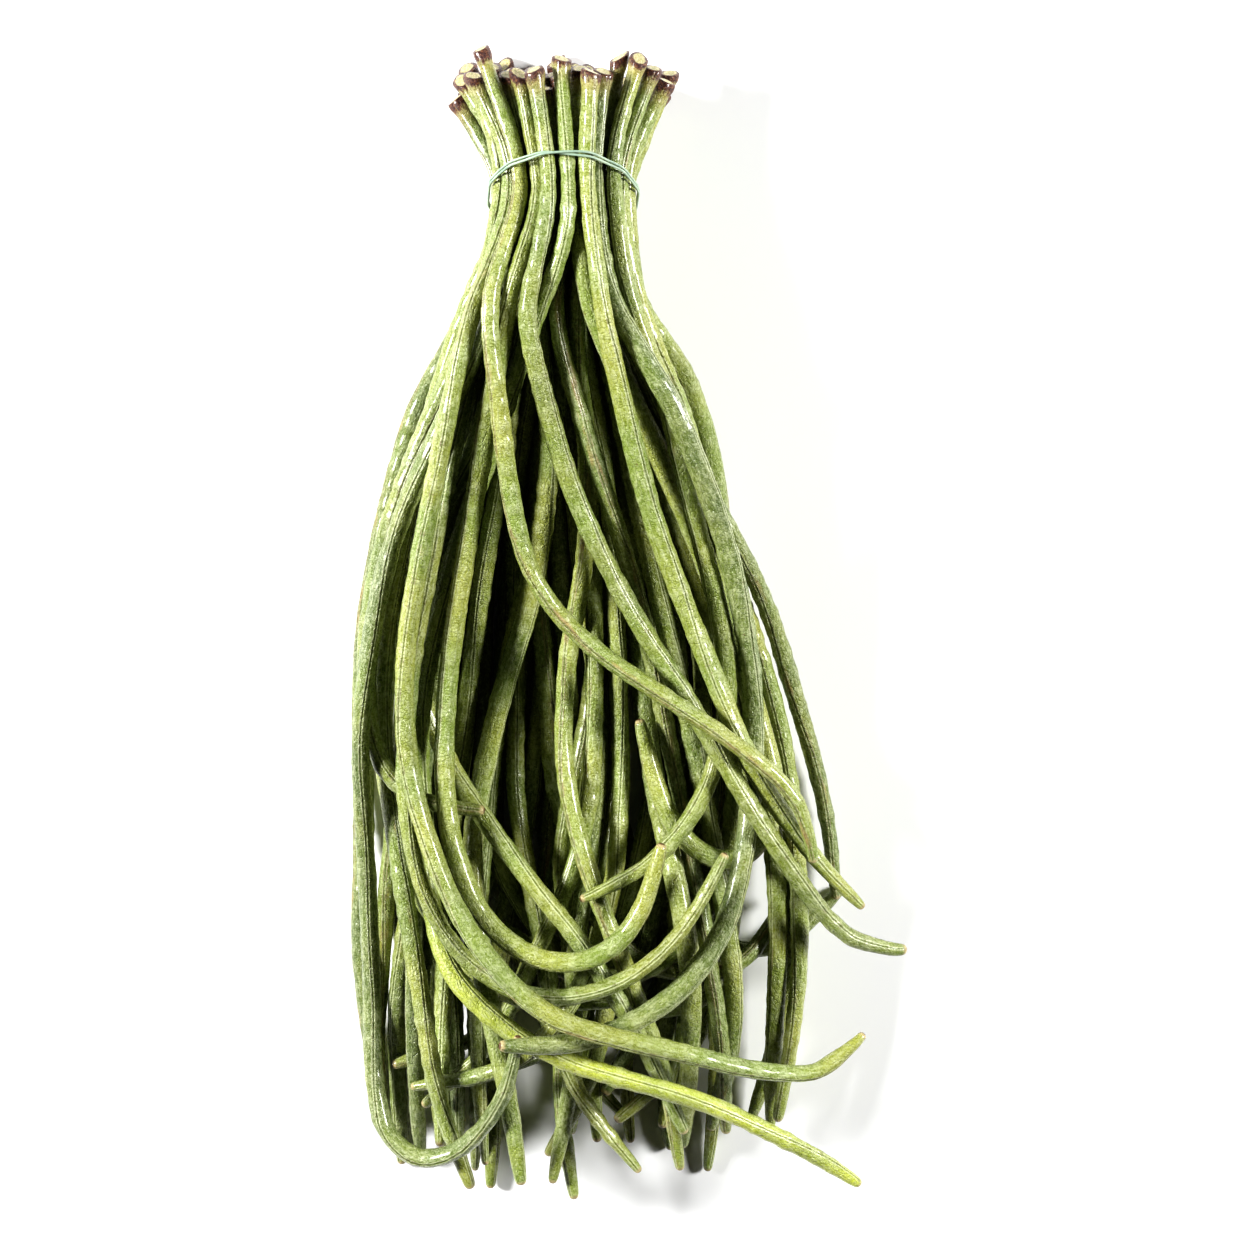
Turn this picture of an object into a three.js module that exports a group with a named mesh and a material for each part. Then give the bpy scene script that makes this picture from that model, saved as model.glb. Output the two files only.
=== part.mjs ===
// A tied bundle of long beans lying on a table, in millimetres.
// +Y runs along the bundle from the tips to the cut stems, +X runs across it, and +Z is up.
//
// Every bean is one pod: a lathed body bent along its own spine. The spines start from routes drawn
// in plan, are laid one on another from the bottom of the bundle up, and then settle under their own
// weight until each bean clears its neighbours. The rubber band is wound round them as they then lie.

import * as THREE from "three";

// ---- Sizes ----

const ordinaryLength = 490; // cut stem to tip; the routes are drawn in hundredths of this
const beanDiameter = 8.6; // a bean of middling thickness, at its middle
const diameterSpread = 1.6; // the thickest bean less the thinnest
const clearance = 0.65; // left between beans that lie against each other
const stemStretch = 52; // from the band to the cut stems
const stemSpread = 15; // the longest stem stretch less the shortest
const stemFlare = 1.7; // how much wider the cut stems spread than the beans in the band
const bundleAspect = 0.95; // width over height of the bundle inside the band
const underCount = 36; // beans in the lower layers
const underLeft = -18.5; // hundredths of a length that the lower layers reach to the left
const underRight = 22; // and to the right
const underReach = 85; // and along the bundle, away from the band
const reachSpread = 6; // the furthest reach of the lower layers less the shortest
const curlShare = 0.45; // share of a lower bean, at its tip, that may curl
const mostCurl = THREE.MathUtils.degToRad(170);
const curlRoom = 10; // hundredths of a length off the middle, beyond which no bean curls outwards

const strandDiameter = 1.2; // the rubber band's strand
const bandClearance = 0.35; // left between the band and what it holds, and between its turns
const bandTilt = THREE.MathUtils.degToRad(31); // the band leans towards the stems on top
const crossingShare = 0.09; // share of a turn over which the band's two turns cross

// ---- Modelling steps ----

const spineStep = 10; // between points of a spine
const chordError = 0.45; // how far a bean's straight facets may cut a bend
const beanSides = 7;
const bandSteps = 144;
const bandSides = 6;

const arcSamples = 600; // along a plan, to measure it
const skinSamples = 16; // round a bean, to find where the band touches it

// Share of a bean's full radius at distances from its cut stem, and at distances from its tip.
const stemShape = [
  [0, 0.76],
  [4.5, 0.94],
  [9.5, 0.76],
  [80, 0.81],
  [150, 1],
];
const tipShape = [
  [0, 0],
  [1, 0.42],
  [6, 0.66],
  [24, 0.83],
  [60, 0.95],
  [110, 1],
];
// Distances from the stem and from the tip that always get a ring of vertices.
const stemRings = [4.5, 9.5];
const tipRings = [24, 6, 1];
const slotShare = 0.81; // of a bean's full diameter, where the band holds it
const slotPull = 0.9; // how far off the middle a bean sits in the band, as a share of where it leaves it
const slotRise = 0.6; // how much a bean would rather sit high in the band than near to where it leaves

// ---- Routes ----

// The beans on top, lowest first. Each route runs from below the band to the tip, as x and y from the
// band's middle in hundredths of an ordinary length. Those that end in a hook turn back on themselves.
const topRoutes = [
  // two down the right edge
  [
    [5.2, -8.6], [9.2, -18.4], [13, -28], [16, -37], [18.2, -46], [19.4, -54], [19.8, -63], [19.2, -72],
    [18.2, -80],
  ],
  [[3.8, -7], [8, -16], [12.4, -25.3], [16.2, -34], [19.2, -42.4], [21.4, -49], [22.8, -55], [23.4, -61]],
  // two straight down the middle
  [[0, -9.9], [2.1, -21], [2.1, -30], [0.4, -38], [-0.2, -47], [1.7, -56], [5, -65], [8.3, -74], [10, -83]],
  [[-3, -8], [-1, -20], [-2.5, -32], [-6, -43], [-8, -54], [-6.5, -65], [-4.5, -74], [-3.5, -83]],
  // a long slant to the lower right
  [
    [-0.8, -8.7], [1.7, -17.6], [4.6, -27], [7.2, -37.3], [8.8, -46], [10.4, -55], [12.4, -64], [14, -72],
    [14, -81],
  ],
  // a slack S from the left of the band, crossing below the middle to the right
  [
    [-4.7, -8.1], [-6, -20.2], [-10.2, -28.5], [-12.9, -37], [-11, -45.6], [-5.4, -54], [1, -61.6],
    [6.6, -70], [10.7, -79],
  ],
  // from the right, its tip turned straight up in the middle
  [
    [2, -8], [6, -17], [10, -26], [13.6, -35], [16.4, -43], [17.6, -49.5], [16.6, -53.8], [13.8, -55.8],
    [10.6, -54.6], [8.4, -51.6], [7.2, -47.6], [6.4, -43.6],
  ],
  // from the right, its tip swung down to the left
  [
    [3, -9], [7.2, -18], [11, -27], [13.6, -35], [14.2, -42], [12.8, -47.8], [10.4, -52], [7.4, -55],
    [4, -57], [0.6, -58.2],
  ],
  // sweeping flat across the bottom from the left edge to the right
  [
    [-4.8, -11], [-8, -24], [-10.6, -37], [-12, -49], [-11.8, -58], [-9.8, -64.6], [-5.1, -69],
    [0.9, -71.8], [6.9, -73.4], [12.9, -75.6], [18, -78.6], [22.3, -81.4], [25.6, -84],
  ],
  // two down the left edge, bellying out
  [
    [-7.2, -9.5], [-12, -19], [-15.5, -28.5], [-17.4, -38], [-17.4, -47.6], [-16.1, -59.6], [-15.4, -70],
    [-15.8, -80.5],
  ],
  [
    [-6, -8.1], [-9.9, -21], [-14.4, -32.1], [-16, -42.4], [-14.1, -55.3], [-12.2, -66], [-10.6, -76],
    [-8, -84],
  ],
  // short, its tip turned across the left edge
  [
    [-7.5, -9.9], [-12, -21], [-15.6, -31], [-17, -40], [-16, -46.3], [-13.6, -49.2], [-10.6, -50.3],
    [-6.6, -50.5],
  ],
  // a low hook at the bottom left, its tip turned up
  [
    [-7, -9.9], [-11.3, -20], [-14.9, -30.4], [-16.5, -42.4], [-16.6, -55], [-16.6, -66], [-16.4, -74],
    [-15, -78.8], [-12.2, -80.6], [-9, -79.6], [-6.2, -76.6], [-4.2, -72.8], [-3.2, -68.4],
  ],
  // from the right edge round to the middle, its tip pointing left
  [
    [3.4, -8.1], [8.6, -16.7], [13, -27], [15.6, -37.3], [16.4, -47.6], [15.4, -55.6], [13.4, -61.4],
    [9.6, -65.8], [4.7, -68.2], [0.6, -68.9], [-2.9, -68.7], [-6.2, -68.1],
  ],
  // nested hooks, tips turned up in the middle
  [
    [-4.6, -9], [-6.4, -19.3], [-8.4, -30.4], [-9.8, -40.7], [-9.9, -48.6], [-8.8, -54.6], [-6.2, -59.6],
    [-2.2, -62.4], [2, -62.5], [5, -60.4], [6.9, -56.9], [8, -52.6],
  ],
  [
    [-5.6, -9.9], [-8.4, -20.1], [-11.2, -30.4], [-12.8, -40.7], [-13, -50], [-11.4, -57.6], [-7.8, -63],
    [-2.4, -65.6], [3.4, -64.8], [8, -61.9], [11.2, -57.8], [13.4, -53.6],
  ],
  // down the right of the middle, swinging out to the right
  [
    [3, -7.7], [4.3, -13.3], [5.8, -19.4], [7.4, -26.4], [9.4, -32.4], [11.6, -38.1], [13.3, -43],
    [15.6, -48.3], [18.8, -53], [22.6, -57.2], [26, -60.2],
  ],
  // across the lower part, its tip turned up on the right
  [
    [-6.4, -10.7], [-10.3, -23.6], [-13.3, -35.6], [-13.4, -45], [-11.8, -51.8], [-9.1, -58.3], [-5.4, -63.6],
    [-1.1, -67.2], [4.3, -69], [10.7, -70.6], [17, -72.4], [22.4, -72.6], [26, -69.8],
  ],
  // from the left of the middle to the far right, its tip curling out
  [
    [-3.9, -9.9], [-2.8, -15], [0, -23.4], [2.6, -28.7], [5.8, -34.2], [8.6, -38.5], [11, -42.2], [13, -45.8],
    [15.2, -49.6], [17.6, -53.6], [20, -57.4], [22.8, -61], [26, -63.4], [29.6, -63.9],
  ],
  // the topmost: straight down, then over everything to the right edge, its tip hooked down
  [
    [-5.5, -9], [-4.9, -18], [-4.3, -26], [-3, -31], [-0.6, -34.6], [3, -37.6], [7.4, -40.2], [11.6, -42.8],
    [15.2, -45.4], [18.4, -48.2], [20.3, -51.4], [20.9, -55.2],
  ],
];

// ---- Small helpers ----

// A repeatable random number from 0 to 1.
let seed = 20271;
function random() {
  seed = (seed + 0x6d2b79f5) | 0;
  let t = Math.imul(seed ^ (seed >>> 15), 1 | seed);
  t = (t + Math.imul(t ^ (t >>> 7), 61 | t)) ^ t;
  return ((t ^ (t >>> 14)) >>> 0) / 2 ** 32;
}

// A repeatable random number from -size/2 to size/2.
const jitter = (size) => (random() - 0.5) * size;

// The value at x of a line drawn through [x, value] pairs.
function along(pairs, x) {
  if (x <= pairs[0][0]) return pairs[0][1];
  for (let i = 1; i < pairs.length; i++) {
    const [x0, y0] = pairs[i - 1];
    const [x1, y1] = pairs[i];
    if (x <= x1) return y0 + ((y1 - y0) * (x - x0)) / (x1 - x0);
  }
  return pairs.at(-1)[1];
}

// A bean's radius at a distance from its cut stem.
function radiusAt(bean, distance) {
  const share = Math.min(along(stemShape, distance), along(tipShape, bean.length - distance));
  return (share * bean.diameter) / 2;
}

// ---- The beans before they are laid ----

// Routes of the lower layers: they fan out from the band, sway a little, and some curl at their tips.
const goldenShare = 0.618; // steps by this share of the width put neighbours in different layers
const fanPower = 2.5; // how early the fan straightens
const routeSteps = 10;
function underRoutes() {
  return Array.from({ length: underCount }, (_, i) => {
    const end = THREE.MathUtils.lerp(underLeft, underRight, (i * goldenShare) % 1) + jitter(3);
    const reach = underReach + jitter(reachSpread);
    const sway = jitter(0.3);
    const phase = random() * 2 * Math.PI;
    const draw = 2 * random() - 1;
    const wish = mostCurl * draw * Math.abs(draw);
    const curl = wish * end > 0 ? wish * Math.max(0, 1 - Math.abs(end) / curlRoom) : wish;
    let x = 0;
    let y = 0;
    return Array.from({ length: routeSteps }, (_, step) => {
      const t = (step + 0.5) / routeSteps;
      const fan = Math.atan((end * fanPower * (1 - t) ** (fanPower - 1)) / reach);
      const curled = Math.max(0, 1 - (1 - t) / curlShare) ** 1.5;
      const heading = fan + sway * Math.sin(phase + 5 * t) + curl * curled;
      x += (Math.sin(heading) * reach) / routeSteps;
      y -= (Math.cos(heading) * reach) / routeSteps;
      return [x, y];
    });
  });
}

function makeBean(route) {
  return {
    diameter: beanDiameter + jitter(diameterSpread),
    stem: stemStretch + jitter(stemSpread),
    stemLean: jitter(10),
    route: route.map(([x, y]) => new THREE.Vector3(x, y, 0).multiplyScalar(ordinaryLength / 100)),
  };
}

// Places inside the band, packed like logs in an oval and listed from the bottom row up.
function packedSlots(count, pitch) {
  const rise = (pitch * Math.sqrt(3)) / 2;
  const places = [];
  for (let row = -count; row <= count; row++)
    for (let column = -count; column <= count; column++)
      places.push({ row, x: (column + (row % 2 ? 0.5 : 0)) * pitch, z: row * rise });
  const size = (p) => Math.hypot(p.x / bundleAspect, p.z);
  const kept = places.sort((a, b) => size(a) - size(b)).slice(0, count);
  return kept.sort((a, b) => a.row - b.row || a.x - b.x);
}

// Gives each bean a slot. The topmost bean chooses first. Each takes a high slot near to where it leaves
// the band, from those that have no free slot straight above them.
function giveSlots(beans) {
  const pitch = slotShare * beanDiameter + clearance;
  const free = packedSlots(beans.length, pitch);
  const lift = bandRoom + (slotShare * beanDiameter) / 2 - free[0].z;
  for (const bean of [...beans].reverse()) {
    const open = free.filter((s) => !free.some((o) => o.z > s.z && Math.abs(o.x - s.x) < pitch / 4));
    const miss = (s) => Math.abs(s.x - bean.route[0].x * slotPull) - slotRise * s.z;
    const best = open.reduce((a, b) => (miss(b) < miss(a) ? b : a));
    free.splice(free.indexOf(best), 1);
    bean.slot = { x: best.x, z: best.z + lift };
  }
  return lift;
}

// Samples a bean's plan every spineStep: its flared stem, its slot in the band, and its route.
function drawPlan(bean, bandMiddle) {
  const stem = new THREE.Vector3(bean.slot.x * stemFlare + bean.stemLean, bean.stem, 0);
  const slot = new THREE.Vector3(bean.slot.x, 0, 0);
  const curve = new THREE.CatmullRomCurve3([stem, slot, ...bean.route], false, "centripetal");
  curve.arcLengthDivisions = arcSamples;
  const count = Math.round(curve.getLength() / spineStep);
  bean.length = count * spineStep;
  bean.points = curve.getSpacedPoints(count);
  const nearby = [-stemRings[0], 0, stemRings[0]];
  bean.radii = bean.points.map((_, k) => Math.max(...nearby.map((d) => radiusAt(bean, k * spineStep + d))));
  bean.points.forEach((p) => {
    const flare = 1 + (stemFlare - 1) * Math.max(0, p.y / bean.stem);
    p.z = p.y > -bandHold ? bandMiddle + (bean.slot.z - bandMiddle) * flare : bean.slot.z;
  });
  bean.home = bean.points.map((p) => p.clone());
}

// ---- Laying and settling ----

const bandRoom = strandDiameter + 2 * bandClearance; // for the band between the lowest beans and the table
const waistReach = 10; // the band holds the bundle's girth this far each side
const bandHold = 22; // the beans are held in their slots this far each side of the band
const dropPerRound = 0.12;
const layRounds = 260;
const settleRounds = 500;
const clearRounds = 700;
const pairRounds = 12; // between two lists of the beans that are near each other
const pairTravel = 4; // how far a bean may move in that many rounds
const stiffness = 0.35;
const layStiffness = 0.6; // the same while a bean is let down
const squeeze = 0.03; // share of its way to the middle that the band pulls a bean each round
const homePull = 0.012; // how strongly a bean keeps to its route
const tableRiseLength = 16; // how gently the beans rise over the band where it passes under them

// The height a bean is held at least: over the table, and over the band where it passes under the beans.
let underBandY = 0;
function tableAt(y) {
  return bandRoom * Math.exp(-(((y - underBandY) / tableRiseLength) ** 2));
}

// The lowest height at which a point of a bean clears the table and the beans already laid.
const farAway = 4 * spineStep; // beyond this, two points are not compared
function clearHeight(point, radius, laid) {
  let lowest = tableAt(point.y) + radius;
  for (const other of laid)
    for (let k = 0; k + 1 < other.points.length; k++) {
      const a = other.points[k];
      const b = other.points[k + 1];
      if (Math.abs(a.x - point.x) + Math.abs(a.y - point.y) > farAway) continue;
      const dx = b.x - a.x;
      const dy = b.y - a.y;
      const share = ((point.x - a.x) * dx + (point.y - a.y) * dy) / (dx * dx + dy * dy);
      const t = THREE.MathUtils.clamp(share, 0, 1);
      const away = Math.hypot(a.x + dx * t - point.x, a.y + dy * t - point.y);
      const reach = radius + other.radii[k] + clearance;
      if (away >= reach) continue;
      lowest = Math.max(lowest, a.z + (b.z - a.z) * t + Math.sqrt(reach * reach - away * away));
    }
  return lowest;
}

// Lets one bean down on those already laid, as a springy rod that sags between what it rests on.
function lay(bean, laid) {
  const { points, radii } = bean;
  const held = points.map((p) => Math.abs(p.y) < bandHold);
  const lowest = points.map((p, k) => (held[k] ? p.z : clearHeight(p, radii[k], laid)));
  points.forEach((p, k) => (p.z = Math.max(p.z, lowest[k])));
  for (let round = 0; round < layRounds; round++)
    for (let k = 0; k < points.length; k++) {
      if (held[k]) continue;
      const before = points[k - 1] ?? points[k + 1];
      const after = points[k + 1] ?? points[k - 1];
      const straight = (before.z + after.z) / 2;
      points[k].z = Math.max(lowest[k], points[k].z + (straight - points[k].z) * layStiffness - dropPerRound);
    }
}

// Where two straight stretches come closest, as shares along each.
function closest(a0, a1, b0, b1) {
  const d1 = new THREE.Vector3().subVectors(a1, a0);
  const d2 = new THREE.Vector3().subVectors(b1, b0);
  const r = new THREE.Vector3().subVectors(a0, b0);
  const a = d1.dot(d1);
  const e = d2.dot(d2);
  const b = d1.dot(d2);
  const c = d1.dot(r);
  const f = d2.dot(r);
  const clamp = THREE.MathUtils.clamp;
  const denominator = a * e - b * b;
  let s = denominator > 1e-9 ? clamp((b * f - c * e) / denominator, 0, 1) : 0.5;
  let t = (b * s + f) / e;
  if (t < 0 || t > 1) {
    t = clamp(t, 0, 1);
    s = clamp((b * t - c) / a, 0, 1);
  }
  return [s, t];
}

// Stretches of different beans that are near enough to touch in the next few rounds.
function nearPairs(beans) {
  const near = beanDiameter + diameterSpread + clearance + spineStep + pairTravel;
  const isNear = (p, q) => p.distanceToSquared(q) < near * near;
  const pairs = [];
  beans.forEach((bean, i) => {
    for (const other of beans.slice(i + 1))
      for (let k = 0; k + 1 < bean.points.length; k++)
        for (let m = 0; m + 1 < other.points.length; m++)
          if (isNear(bean.points[k], other.points[m])) pairs.push([bean, k, other, m]);
  });
  return pairs;
}

// Pushes two stretches apart if they are closer than their radii and the clearance.
const push = new THREE.Vector3();
function part([bean, k, other, m]) {
  const [a0, a1] = [bean.points[k], bean.points[k + 1]];
  const [b0, b1] = [other.points[m], other.points[m + 1]];
  const [s, t] = closest(a0, a1, b0, b1);
  push.copy(a0).lerp(a1, s);
  push.x -= b0.x + (b1.x - b0.x) * t;
  push.y -= b0.y + (b1.y - b0.y) * t;
  push.z -= b0.z + (b1.z - b0.z) * t;
  const distance = push.length();
  const radii = THREE.MathUtils.lerp(bean.radii[k], bean.radii[k + 1], s) +
    THREE.MathUtils.lerp(other.radii[m], other.radii[m + 1], t);
  const overlap = radii + clearance - distance;
  if (overlap <= 0) return;
  const shares = (1 - s) ** 2 + s ** 2 + (1 - t) ** 2 + t ** 2;
  push.multiplyScalar(overlap / Math.max(distance, 1e-6) / shares);
  a0.addScaledVector(push, 1 - s);
  a1.addScaledVector(push, s);
  b0.addScaledVector(push, t - 1);
  b1.addScaledVector(push, -t);
}

// Keeps a bean's points a step apart, and its bends as they were drawn.
const apart = new THREE.Vector3();
const bend = new THREE.Vector3();
function holdShape({ points, home }) {
  for (let k = 0; k + 1 < points.length; k++) {
    apart.subVectors(points[k + 1], points[k]);
    apart.multiplyScalar((1 - spineStep / apart.length()) / 2);
    points[k].add(apart);
    points[k + 1].sub(apart);
  }
  for (let k = 1; k + 1 < points.length; k++) {
    bend.addVectors(points[k - 1], points[k + 1]).multiplyScalar(-0.5).add(points[k]);
    bend.x -= home[k].x - (home[k - 1].x + home[k + 1].x) / 2;
    bend.y -= home[k].y - (home[k - 1].y + home[k + 1].y) / 2;
    bend.multiplyScalar(stiffness);
    points[k].addScaledVector(bend, -2 / 3);
    points[k - 1].addScaledVector(bend, 1 / 3);
    points[k + 1].addScaledVector(bend, 1 / 3);
  }
}

// Keeps the beans inside the band's loop.
function bind(bean, waist, bandMiddle) {
  bean.points.forEach((p, k) => {
    const off = (p.y - (p.z - bandMiddle) * Math.tan(bandTilt)) / waistReach;
    const away = Math.hypot(p.x / bundleAspect, p.z - bandMiddle);
    const most = waist * Math.max(1, Math.abs(off)) - bean.radii[k];
    if (away <= most) return;
    p.x *= most / away;
    p.z = bandMiddle + ((p.z - bandMiddle) * most) / away;
  });
}

// Lets all the beans shift against each other: first under their weight and the band's pull, which both
// fade out, and then with nothing left but the push between them.
function settle(beans, bandMiddle) {
  const waist = bandMiddle - bandRoom;
  let pairs = [];
  for (let round = 0; round < settleRounds + clearRounds; round++) {
    const strength = Math.max(0, 1 - round / settleRounds);
    if (round % pairRounds === 0) pairs = nearPairs(beans);
    for (const bean of beans) {
      bean.points.forEach((p, k) => {
        p.x += (bean.home[k].x - p.x) * homePull * strength;
        p.y += (bean.home[k].y - p.y) * homePull * strength;
        if (Math.abs(p.y) < bandHold) {
          p.x -= p.x * squeeze * strength;
          p.z -= (p.z - bandMiddle) * squeeze * strength;
        } else p.z -= dropPerRound * strength;
      });
      holdShape(bean);
    }
    for (const bean of beans) bind(bean, waist, bandMiddle);
    pairs.forEach(part);
    for (const bean of beans)
      bean.points.forEach((p, k) => (p.z = Math.max(p.z, tableAt(p.y) + bean.radii[k])));
  }
}

// ---- Solids ----

// A point of a bean's spine at a distance from its stem.
function spineAt(bean, distance) {
  const place = THREE.MathUtils.clamp(distance / spineStep, 0, bean.points.length - 1);
  const k = Math.min(Math.floor(place), bean.points.length - 2);
  return bean.points[k].clone().lerp(bean.points[k + 1], place - k);
}

// Distances of the rings: close together where the bean bends, far apart where it is straight.
function ringDistances(bean) {
  const last = bean.length - tipRings[0];
  const rings = [...stemRings];
  let from = rings.at(-1);
  for (let to = from + spineStep; to < last; to += spineStep) {
    const chord = new THREE.Line3(spineAt(bean, from), spineAt(bean, to + spineStep));
    let off = 0;
    for (let d = from + spineStep / 2; d < to + spineStep; d += spineStep / 2) {
      const p = spineAt(bean, d);
      off = Math.max(off, p.distanceTo(chord.closestPointToPoint(p, true, new THREE.Vector3())));
    }
    if (off > chordError) {
      rings.push(to);
      from = to;
    }
  }
  return [...rings, ...tipRings.map((d) => bean.length - d)];
}

// Bends a lathe's straight body along a line, given by a function from its height to a point.
function bendAlong(geometry, heights, lineAt) {
  const origins = heights.map(lineAt);
  const frames = [];
  let across = new THREE.Vector3(0, 0, 1);
  origins.forEach((origin, k) => {
    const before = origins[Math.max(k - 1, 0)];
    const after = origins[Math.min(k + 1, origins.length - 1)];
    const tangent = new THREE.Vector3().subVectors(after, before).normalize();
    across = across.clone().addScaledVector(tangent, -across.dot(tangent)).normalize();
    frames.push({ origin, across, side: new THREE.Vector3().crossVectors(across, tangent) });
  });
  const position = geometry.getAttribute("position");
  for (let v = 0; v < position.count; v++) {
    const { origin, across: u, side } = frames[v % heights.length];
    const p = origin.clone().addScaledVector(u, position.getX(v)).addScaledVector(side, position.getZ(v));
    position.setXYZ(v, p.x, p.y, p.z);
  }
  return geometry;
}

function beanGeometry(bean) {
  const distances = ringDistances(bean);
  const profile = [
    new THREE.Vector2(0, 0),
    new THREE.Vector2(radiusAt(bean, 0), 0),
    ...distances.map((d) => new THREE.Vector2(radiusAt(bean, d), d)),
    new THREE.Vector2(0, bean.length),
  ];
  // The first two heights are the same, so the cut stem's ring takes its direction from a little further on.
  const heights = profile.map((p) => p.y);
  const geometry = new THREE.LatheGeometry(profile, beanSides);
  return bendAlong(geometry, heights, (height) => spineAt(bean, height));
}

// ---- The rubber band ----

const pairDistance = strandDiameter + bandClearance; // between the middles of its two turns

// Coordinates in the band's tilted plane: right and up in it, and off it towards the stems.
const bandUp = new THREE.Vector3(0, Math.sin(bandTilt), Math.cos(bandTilt));
const bandOff = new THREE.Vector3(0, Math.cos(bandTilt), -Math.sin(bandTilt));

// Where the skins of the beans cross a plane that lies off the band's own, as [right, up] pairs.
function skinCrossings(beans, middle, off) {
  const found = [];
  for (const bean of beans) {
    const level = (p) => p.clone().sub(middle).dot(bandOff) - off;
    for (let k = 0; k + 1 < bean.points.length; k++) {
      const [a, b] = [bean.points[k], bean.points[k + 1]];
      if (level(a) > 0 === level(b) > 0) continue;
      const direction = new THREE.Vector3().subVectors(b, a).normalize();
      const across = new THREE.Vector3(0, 0, 1).cross(direction).normalize();
      const side = across.clone().cross(direction);
      for (let turn = 0; turn < skinSamples; turn++) {
        const angle = (turn / skinSamples) * 2 * Math.PI;
        const skin = across.clone().multiplyScalar(Math.cos(angle)).addScaledVector(side, Math.sin(angle));
        const p = a.clone().addScaledVector(skin, Math.max(bean.radii[k], bean.radii[k + 1]));
        p.addScaledVector(direction, -level(p) / direction.dot(bandOff)).sub(middle);
        found.push([p.x, p.dot(bandUp)]);
      }
    }
  }
  return found;
}

// The tight loop round the beans in the band's plane, starting at the bottom.
function tightLoop(beans, middle) {
  const skins = [-pairDistance, 0, pairDistance].flatMap((off) => skinCrossings(beans, middle, off));
  const standOff = bandClearance + strandDiameter / 2;
  const corners = [];
  for (let degree = 0; degree < 360; degree++) {
    const angle = THREE.MathUtils.degToRad(degree - 90);
    const [nx, nz] = [Math.cos(angle), Math.sin(angle)];
    const reach = (p) => p[0] * nx + p[1] * nz;
    const [x, z] = skins.reduce((best, p) => (reach(p) > reach(best) ? p : best));
    corners.push(new THREE.Vector3(x + nx * standOff, z + nz * standOff, 0));
  }
  const loop = new THREE.CurvePath();
  corners.forEach((corner, i) => loop.add(new THREE.LineCurve3(corner, corners[(i + 1) % corners.length])));
  return loop;
}

// One band wound twice round the bundle. Its turns lie side by side, and on top the first crosses over
// the second. The pair keeps its distance by turning through half a circle as it crosses.
function bandGeometry(beans, middle) {
  const loop = tightLoop(beans, middle);
  const geometry = new THREE.TorusGeometry(1, 0.5, bandSides, bandSteps);
  const position = geometry.getAttribute("position");
  const rings = bandSteps + 1;
  for (let v = 0; v < position.count; v++) {
    const turns = (2 * (v % rings % bandSteps)) / bandSteps;
    const share = turns % 1;
    const at = loop.getPointAt(share);
    const tangent = loop.getTangentAt(share);
    const crossing = Math.PI * THREE.MathUtils.smoothstep(share, 0.5 - crossingShare, 0.5 + crossingShare);
    const first = turns < 1;
    const pairOff = ((first ? 1 : -1) * Math.cos(crossing) * pairDistance) / 2;
    const pairOut = first ? Math.sin(crossing) * pairDistance : 0;
    const around = (Math.floor(v / rings) / bandSides) * 2 * Math.PI;
    const off = pairOff - (strandDiameter / 2) * Math.sin(around);
    const out = pairOut + (strandDiameter / 2) * Math.cos(around);
    const p = middle.clone().addScaledVector(bandOff, off);
    p.x += at.x + tangent.y * out;
    p.addScaledVector(bandUp, at.y - tangent.x * out);
    position.setXYZ(v, p.x, p.y, p.z);
  }
  return geometry;
}

// ---- The bundle ----

const podMaterial = (bean) =>
  new THREE.MeshStandardMaterial({ color: bean.color, roughness: 0.5, metalness: 0 });
const bandMaterial = new THREE.MeshStandardMaterial({ color: 0x8fd3c4, roughness: 0.55, metalness: 0 });

const beans = [...underRoutes(), ...topRoutes].map(makeBean);
const bandMiddle = giveSlots(beans);
underBandY = -bandMiddle * Math.tan(bandTilt);
beans.forEach((bean) => {
  drawPlan(bean, bandMiddle);
  bean.color = new THREE.Color().setHSL(0.235 + jitter(0.03), 0.45, 0.4 + jitter(0.1));
});
beans.forEach((bean, i) => lay(bean, beans.slice(0, i)));
settle(beans, bandMiddle);

const bundle = new THREE.Group();
beans.forEach((bean, i) => {
  const mesh = new THREE.Mesh(beanGeometry(bean), podMaterial(bean));
  mesh.name = `bean_${String(i + 1).padStart(2, "0")}`;
  bundle.add(mesh);
});
const band = new THREE.Mesh(bandGeometry(beans, new THREE.Vector3(0, 0, bandMiddle)), bandMaterial);
band.name = "rubber_band";
bundle.add(band);

// The origin is under the middle of the bundle, on the table.
const box = new THREE.Box3().setFromObject(bundle);
bundle.position.set(-(box.min.x + box.max.x) / 2, -(box.min.y + box.max.y) / 2, -box.min.z);

export default bundle;
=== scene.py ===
# %% [markdown]
# # A tied bundle of long beans
#
# The bundle is fifty-six long green pods held near their cut stems by one rubber band wound twice. It lies
# on its side on a pale floor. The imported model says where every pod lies, as plain seven-sided tubes. This
# lesson turns each tube into a real pod, with a cut stem, a neck, seeds that swell the skin, seams and a
# tapered tip.

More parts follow.
